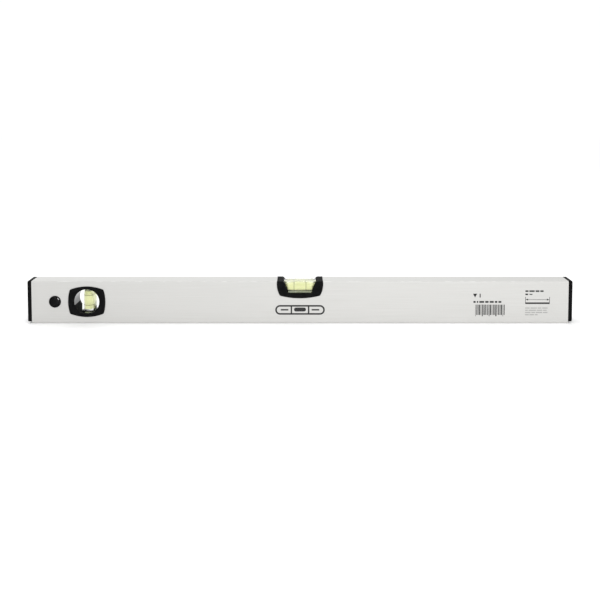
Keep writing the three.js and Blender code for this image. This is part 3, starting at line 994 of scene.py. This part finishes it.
def make_plug(name, node, vial):
    """A round plug with bevelled ends and a dimple in its outer one."""
    radius = vial.plug_radius
    start = vial.half_chamber + WETTED_GAP
    end = vial.half_length - PLUG_RECESS
    dimple = radius * 0.55
    profile = [
        (0, start),
        (radius - PLUG_LEAD, start),
        (radius, start + PLUG_LEAD),
        (radius, end - PLUG_LEAD),
        (radius - PLUG_LEAD, end),
        (dimple, end),
        (dimple - PLUG_LEAD, end - PLUG_DIMPLE),
        (0, end - PLUG_DIMPLE),
    ]
    plug = turned(name, profile, vial.axis, vial.centre)
    shade(plug)
    finish_piece(plug, PLUG, "frame", node)


def make_fluid(name, node, vial):
    """The liquid fills the bore. The bubble, a pocket of air, moves about inside it."""
    points = barrel_points(vial.half_chamber, WETTED_GAP)
    profile = [(0, points[0][1]), *points, (0, points[-1][1])]
    fluid = turned(name, profile, vial.axis, vial.centre)
    shade(fluid)
    finish_piece(fluid, LIQUID, "frame", node)


def make_level_bubble():
    """A long bubble, its top flattened against the crown of the bore."""
    low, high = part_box("level_bubble")
    centre = (low + high) / 2
    half = (high - low) / 2
    rows, around = 32, 64
    axis_z = LEVEL_VIAL.centre.z
    ceiling = high.z - axis_z
    loops = []
    for row in range(1, rows):
        polar = math.pi * row / rows
        x = centre.x - half.x * math.cos(polar)
        loop = []
        for i in range(around):
            angle = 2 * math.pi * i / around
            y = half.y * math.sin(polar) * math.cos(angle)
            rise = centre.z + half.z * math.sin(polar) * math.sin(angle) - axis_z
            pull = min(1, ceiling / math.hypot(y, rise))
            loop.append((x, y * pull, axis_z + rise * pull))
        loops.append(loop)
    bubble = lofted("air_level", loops)
    shade(bubble, 80)
    finish_piece(bubble, BUBBLE, "level_bubble_body", "level_bubble")


def make_plumb_bubble():
    """A flat round bubble with a full rim."""
    low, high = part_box("plumb_bubble")
    centre = (low + high) / 2
    half = (high - low) / 2
    rows = 24
    rim_fullness = 0.85
    profile = [(0, -half.z)]
    for row in range(1, rows):
        polar = math.pi * row / rows
        profile.append((half.x * math.sin(polar) ** rim_fullness, -half.z * math.cos(polar)))
    profile.append((0, half.z))
    bubble = turned("air_plumb", profile, Z, centre)
    shade(bubble, 80)
    finish_piece(bubble, BUBBLE, "plumb_bubble_body", "plumb_bubble")


def make_glue(name, node):
    """A thin layer of set glue with an uneven rim, just clear of the block above it."""
    low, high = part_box(node)
    centre = (low + high) / 2
    half = (high - low) / 2
    count = 72
    squareness = 8
    outline = []
    for i in range(count):
        angle = 2 * math.pi * i / count
        cos, sin = math.cos(angle), math.sin(angle)
        reach = (abs(cos) ** squareness + abs(sin) ** squareness) ** (-1 / squareness)
        reach *= 0.97 + 0.02 * math.sin(5 * angle) + 0.01 * math.sin(11 * angle + 1)
        outline.append((half.x * cos * reach, half.y * sin * reach))
    top = high.z - GLUE_GAP
    edge = 0.25 * GLUE
    rows = ((0.5 * MM, low.z), (0.1 * MM, low.z + edge), (0.1 * MM, top - edge), (0.5 * MM, top))
    loops = []
    for inset, z in rows:
        shrink = 1 - inset / half.y
        loops.append([(centre.x + x * shrink, centre.y + y * shrink, z) for x, y in outline])
    glue = lofted(name, loops)
    shade(glue)
    finish_piece(glue, GLUE_LOOK, "frame", node)


# ---- Printed marks on the front face: plain pictograms, no lettering ----

INK_BACK = -FACE_Y + INK_SINK
INK_FRONT = -FACE_Y - INK_THICKNESS


class Print:
    """Gathers flat inked shapes, in millimetres on the front face, into one piece."""

    def __init__(self, name, material):
        self.name = name
        self.material = material
        self.points = []
        self.faces = []

    def add_points(self, outline, y):
        self.points += [(x * MM, y, z * MM) for x, z in outline]

    def add_wall(self, here, there, count):
        """Faces between two rows of count points each, that start at here and there."""
        for i in range(count):
            j = (i + 1) % count
            self.faces.append((here + i, here + j, there + j, there + i))

    def area(self, outline):
        count = len(outline)
        back = len(self.points)
        front = back + count
        self.add_points(outline, INK_BACK)
        self.add_points(outline, INK_FRONT)
        self.faces.append(tuple(range(back, front)))
        self.faces.append(tuple(reversed(range(front, front + count))))
        self.add_wall(back, front, count)

    def bar(self, x0, x1, z0, z1):
        self.area([(x0, z0), (x1, z0), (x1, z1), (x0, z1)])

    def dashes(self, x, z0, z1, lengths, gap):
        """A row of bars that starts at x."""
        for length in lengths:
            self.bar(x, x + length, z0, z1)
            x += length + gap

    def band(self, outer, inner):
        """The area between two outlines of equally many points."""
        count = len(outer)
        start = len(self.points)
        rows = ((outer, INK_BACK), (outer, INK_FRONT), (inner, INK_FRONT), (inner, INK_BACK))
        for outline, y in rows:
            self.add_points(outline, y)
        for row in range(len(rows)):
            self.add_wall(start + row * count, start + (row + 1) % len(rows) * count, count)

    def place(self):
        piece = new_object(self.name, self.points, self.faces)
        piece.data.materials.append(self.material)
        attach(piece, "frame")


def pill(x, z, half_width, half_height):
    """A bar with round ends, their radius just short of its half height."""
    outline = rounded_rectangle(half_width, z - half_height, z + half_height, half_height - 0.1)
    return [(x + a, b) for a, b in outline]


def print_vial_sign():
    """A vial drawn in outline, with its two rings, its bubble and its liquid's surface."""
    sign = Print("print_vial_sign", INK)
    z, half_width, half_height, stroke = 15.1, 27.3, 5.4, 1.8
    inner_height = half_height - stroke
    sign.band(pill(0, z, half_width, half_height), pill(0, z, half_width - stroke, inner_height))
    for ring_x in (-9.5, 9.5):
        sign.bar(ring_x - 0.8, ring_x + 0.8, z - inner_height, z + inner_height)
    sign.area(pill(0, z + 0.4, 6.6, 2.2))
    for dash_x in (-17, 17):
        sign.bar(dash_x - 4.2, dash_x + 4.2, z - 0.7, z + 0.9)
    sign.place()


def print_scale():
    """A plain block of upright ticks, under a datum triangle and a row of dashes."""
    scale = Print("print_scale", INK)
    left, foot, top = 193.4, 9.4, 21
    pitch, overhang = 1.5, 1.4
    half_widths = (0.22, 0.5, 0.34, 0.62)
    for i in range(22):
        x = left + pitch * i
        half = half_widths[i % 4]
        scale.bar(x - half, x + half, foot if i % 5 else foot - overhang, top)
    datum_foot, datum_top = 28.9, 33.2
    scale.area([(190.4, datum_top), (195.0, datum_top), (192.7, datum_foot)])
    scale.bar(197.7, 198.8, datum_foot, datum_top)
    scale.dashes(191, 23.0, 25.0, (2.4, 1.5, 5.2, 3.6, 4.4, 2.6, 3.2), gap=1.3)
    scale.place()


def print_length_sign():
    """A dimension line with arrowheads over a solid bar, under two rows of dashes."""
    sign = Print("print_length_sign", INK)
    left, right = 248, 275
    sign.dashes(left, 35.2, 36.9, (3.4, 5.8, 4.2, 3.6), gap=1.0)
    sign.bar(left, left + 3, 31.6, 33.3)
    sign.bar(left + 4.6, left + 7.8, 31.9, 33.0)
    sign.bar(left, right, 21.7, 23.5)
    line_z, half_line, post = 26.6, 0.2, 0.5
    head_length, half_head = 2.6, 1.1
    for end, inward in ((left, 1), (right, -1)):
        tip = end + inward * post
        sign.bar(min(end, tip), max(end, tip), 23.5, 29.6)
        back = tip + inward * head_length
        sign.area([(tip, line_z), (back, line_z + half_head), (back, line_z - half_head)])
    inset = post + head_length
    sign.bar(left + inset, right - inset, line_z - half_line, line_z + half_line)
    sign.place()


def print_note_lines():
    """Pale dashes that stand for a paragraph of small print."""
    lines = Print("print_note_lines", PALE_INK)
    rows = (
        (16.6, (5, 7, 4, 6)),
        (14.1, (3, 8, 6, 4)),
        (11.6, (6, 4, 7, 5)),
        (9.1, (4, 5, 3)),
    )
    for z, lengths in rows:
        lines.dashes(248, z, z + 1.15, lengths, gap=0.9)
    lines.place()


# ---- Build ----

make_section()
make_cap(LEFT, "cap_left", "end_cap_left")
make_cap(RIGHT, "cap_right", "end_cap_right")
make_bush(FRONT, "bush_front", "hang_bush_front")
make_bush(REAR, "bush_rear", "hang_bush_rear")
make_plumb_shell(FRONT, "plumb_shell_front", "plumb_housing_front")
make_plumb_shell(REAR, "plumb_shell_rear", "plumb_housing_rear")
make_level_shell(FRONT, "level_shell_front", "level_housing_front")
make_level_shell(REAR, "level_shell_rear", "level_housing_rear")

make_block("level_acrylic", "level_vial_block", LEVEL_VIAL)
make_block("plumb_acrylic", "plumb_vial_block", PLUMB_VIAL)
make_ring("level_mark_left", "level_ring_left", LEVEL_VIAL, -LEVEL_VIAL.ring_at)
make_ring("level_mark_right", "level_ring_right", LEVEL_VIAL, LEVEL_VIAL.ring_at)
make_ring("plumb_mark_lower", "plumb_ring_lower", PLUMB_VIAL, -PLUMB_VIAL.ring_at)
make_ring("plumb_mark_upper", "plumb_ring_upper", PLUMB_VIAL, PLUMB_VIAL.ring_at)
make_plug("level_stopper", "level_vial_plug", LEVEL_VIAL)
make_plug("plumb_stopper", "plumb_vial_plug", PLUMB_VIAL)
make_fluid("level_liquid", "level_fluid", LEVEL_VIAL)
make_fluid("plumb_liquid", "plumb_fluid", PLUMB_VIAL)
make_level_bubble()
make_plumb_bubble()
make_glue("level_glue_layer", "level_vial_glue")
make_glue("plumb_glue_layer", "plumb_vial_glue")

print_vial_sign()
print_scale()
print_length_sign()
print_note_lines()


# ---- Stage ----


def make_floor():
    """A plain pale floor, just under the level."""
    reach = 3.0
    below = -0.1 * MM
    corners = [(-reach, -reach, below), (reach, -reach, below), (reach, reach, below), (-reach, reach, below)]
    floor = new_object("floor", corners, [(0, 1, 2, 3)])
    m = Nodes("floor_white")
    m.set(Base_Color=(0.985, 0.985, 0.985, 1), Roughness=0.9, Specular_IOR_Level=0.0)
    floor.data.materials.append(m.material)


def area_light(name, place, target, width, height, power):
    """A rectangular light that faces its target, in metres and watts."""
    data = bpy.data.lights.new(name, "AREA")
    data.shape = "RECTANGLE"
    data.size = width
    data.size_y = height
    data.energy = power
    light = bpy.data.objects.new(name, data)
    bpy.context.scene.collection.objects.link(light)
    light.location = place
    light.rotation_euler = (Vector(target) - Vector(place)).to_track_quat("-Z", "Y").to_euler()


def make_lights():
    """An even white surround, and soft lights above the front, the left half and the back."""
    world = bpy.data.worlds.new("studio")
    world.use_nodes = True
    sky = world.node_tree.nodes["Background"]
    sky.inputs["Color"].default_value = (1, 1, 1, 1)
    sky.inputs["Strength"].default_value = 1.03
    bpy.context.scene.world = world
    area_light("key", (0.16, -0.68, 0.40), (0.13, 0, 0.02), width=0.3, height=0.3, power=2.2)
    area_light("top", (-0.45, 0.2, 0.8), (-0.3, 0, 0), width=0.5, height=0.4, power=1.0)
    area_light("back", (-0.3, 1.3, 0.46), (-0.1, 0, 0.04), width=1.6, height=0.4, power=1.6)


def make_camera():
    """In front of the middle and a little above, looking slightly down on the front and top faces."""
    data = bpy.data.cameras.new("camera")
    data.sensor_width = 36
    data.lens = 42.27
    data.shift_y = -0.291
    camera = bpy.data.objects.new("camera", data)
    bpy.context.scene.collection.objects.link(camera)
    distance, eye_height, pitch = 0.7645, 0.2587, 3
    camera.location = (0, -FACE_Y - distance, eye_height)
    camera.rotation_euler = (math.radians(90 - pitch), 0, 0)
    bpy.context.scene.camera = camera


make_camera()
make_floor()
make_lights()
bpy.context.scene.view_settings.view_transform = "Standard"
